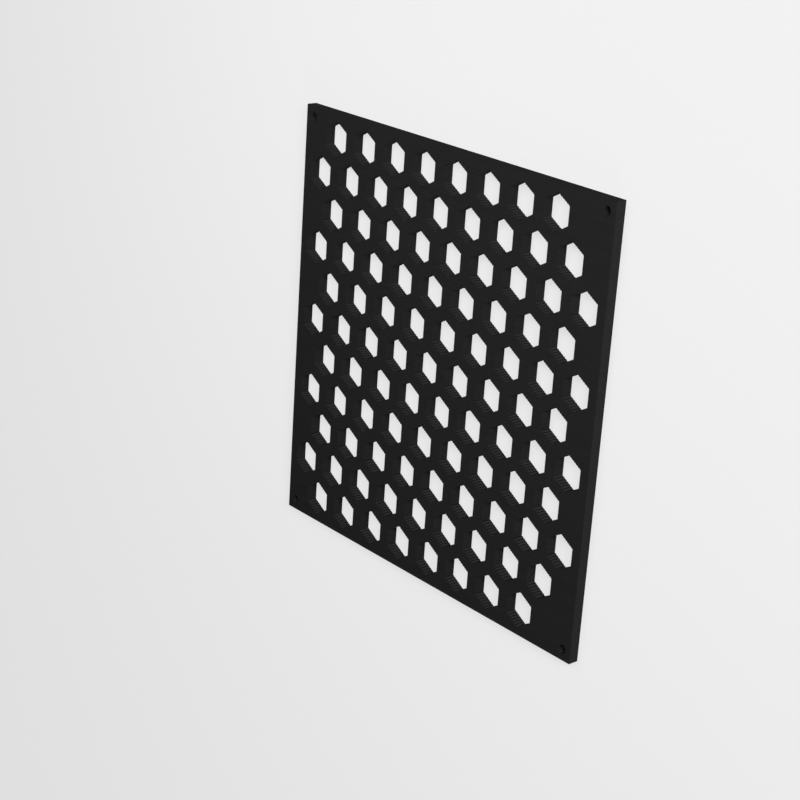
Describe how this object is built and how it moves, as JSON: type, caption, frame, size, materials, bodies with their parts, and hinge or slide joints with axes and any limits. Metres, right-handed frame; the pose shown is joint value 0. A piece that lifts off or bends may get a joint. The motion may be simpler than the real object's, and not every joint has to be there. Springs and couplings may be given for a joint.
{
  "type": "honeycomb cover panel",
  "caption": "Flat rectangular cover panel pierced by staggered rows of hexagonal cells, with a plain screw hole in each corner; it screws over an opening and lets air through.",
  "frame": {"origin": "middle of the panel's outline on its flat back face, which rests on the floor", "axes": "+X along the rows of cells, +Y across the rows towards the edge that is uppermost when the panel stands, +Z out of the front face"},
  "size_m": [0.118, 0.12, 0.003],
  "materials": {
    "black_plastic": "matte black, printed on edge in fine layers that run along the rows of cells"
  },
  "bodies": {
    "root": {"panel": "black_plastic"}
  },
  "joints": []
}
